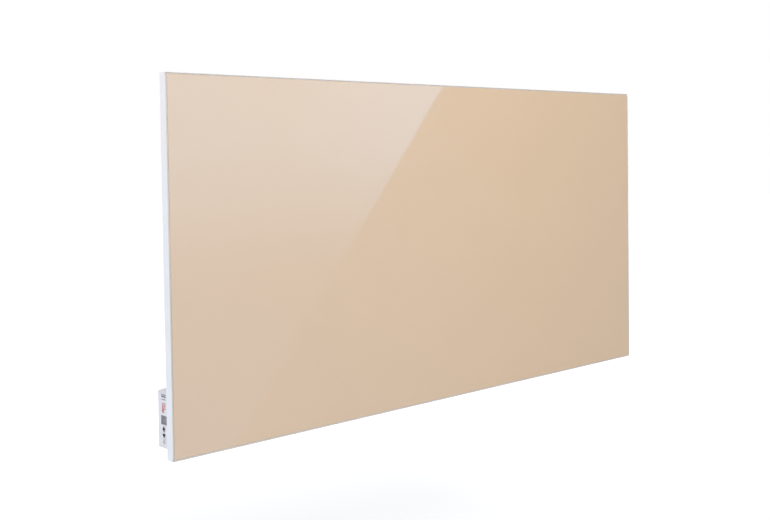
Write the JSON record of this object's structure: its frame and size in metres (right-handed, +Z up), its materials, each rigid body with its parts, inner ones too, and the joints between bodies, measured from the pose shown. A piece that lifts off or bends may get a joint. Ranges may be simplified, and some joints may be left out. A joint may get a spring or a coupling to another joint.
{
  "type": "ceramic panel heater",
  "caption": "Flat wall-hung electric heater: a large glossy ceramic tile in a slim white frame, with a thermostat box behind one lower corner and hook-over wall brackets.",
  "frame": {"origin": "centre of the four wall screw holes, on the wall's surface", "axes": "+X to the right as seen from the front, +Y back into the wall, +Z up"},
  "size_m": [1.2, 0.049, 0.6],
  "materials": {
    "ceramic_glaze": "gloss",
    "frame_white": "satin powder coat",
    "joint_grey": "matt",
    "galvanised_steel": "satin",
    "zinc_screw": "satin zinc",
    "hook_steel": "satin powder coat",
    "plate_silver": "satin",
    "foil": "bright",
    "strip_tape": "satin",
    "mineral_wool": "matt",
    "bond_silicone": "matt",
    "foam_black": "matt",
    "cable_red": "satin silicone",
    "wire_brown": "satin",
    "wire_earth": "satin",
    "cutout_body": "satin phenolic",
    "corner_steel": "plain",
    "box_white": "fine satin texture",
    "base_white": "satin",
    "label_white": "satin printed film",
    "key_white": "satin",
    "display_glass": "clear",
    "display_grey": "liquid crystal",
    "board_green": "solder mask",
    "switch_black": "satin",
    "plunger_white": "satin",
    "ribbon_grey": "satin",
    "sensor_epoxy": "epoxy",
    "relay_blue": "moulded",
    "capacitor_yellow": "moulded",
    "supply_black": "moulded",
    "terminal_green": "moulded",
    "fuse_brown": "moulded",
    "gland_white": "moulded nylon",
    "grommet_black": "matt",
    "lug_tinned": "tinned"
  },
  "bodies": {
    "wall_hooks": {"upper_wall_hooks": "hook_steel", "lower_wall_hooks": "hook_steel"},
    "panel": {"ceramic_tile": "ceramic_glaze", "edge_seal": "joint_grey", "frame_top": "frame_white", "frame_right": "frame_white", "frame_bottom": "frame_white", "frame_left": "frame_white", "corner_keys": "corner_steel", "tile_gasket": "foam_black", "bonding_layer": "bond_silicone", "heating_cable": "cable_red", "cable_strips": "strip_tape", "reflector_foil": "foil", "insulation_mat": "mineral_wool", "thermal_cutout": "cutout_body", "heater_leads": "wire_brown", "rear_cover": "galvanised_steel", "cover_screws": "zinc_screw", "upper_hangers": "hook_steel", "lower_hangers": "hook_steel", "hanger_rivets": "zinc_screw", "rating_plate": "plate_silver", "cable_grommet": "grommet_black", "earth_stud": "zinc_screw", "earth_lug": "lug_tinned", "earth_nut": "zinc_screw", "earth_lead": "wire_earth", "thermostat_housing": "box_white", "thermostat_base": "base_white", "base_rivets": "zinc_screw", "housing_screws": "zinc_screw", "control_label": "label_white", "display_window": "display_glass", "display_module": "display_grey", "control_board": "board_green", "switch_bodies": "switch_black", "board_ribbon": "ribbon_grey", "room_sensor": "sensor_epoxy", "power_board": "board_green", "board_screws": "zinc_screw", "relay": "relay_blue", "capacitor": "capacitor_yellow", "supply_module": "supply_black", "terminal_block": "terminal_green", "fuse": "fuse_brown", "gland_body": "gland_white", "gland_nut": "gland_white", "gland_cap": "gland_white"},
    "up_button": {"up_key": "key_white", "up_plunger": "plunger_white"},
    "down_button": {"down_key": "key_white", "down_plunger": "plunger_white"},
    "power_button": {"power_key": "key_white", "power_plunger": "plunger_white"}
  },
  "joints": [
    {"name": "lift_off", "type": "slide", "parent": "wall_hooks", "child": "panel", "axis": [0, 0, 1], "range_m": [0, 0.01]},
    {"name": "up_press", "type": "slide", "parent": "panel", "child": "up_button", "axis": [1, 0, 0], "range_m": [0, 0.0005], "stiffness_N_per_m": 800},
    {"name": "down_press", "type": "slide", "parent": "panel", "child": "down_button", "axis": [1, 0, 0], "range_m": [0, 0.0005], "stiffness_N_per_m": 800},
    {"name": "power_press", "type": "slide", "parent": "panel", "child": "power_button", "axis": [1, 0, 0], "range_m": [0, 0.0005], "stiffness_N_per_m": 800}
  ]
}
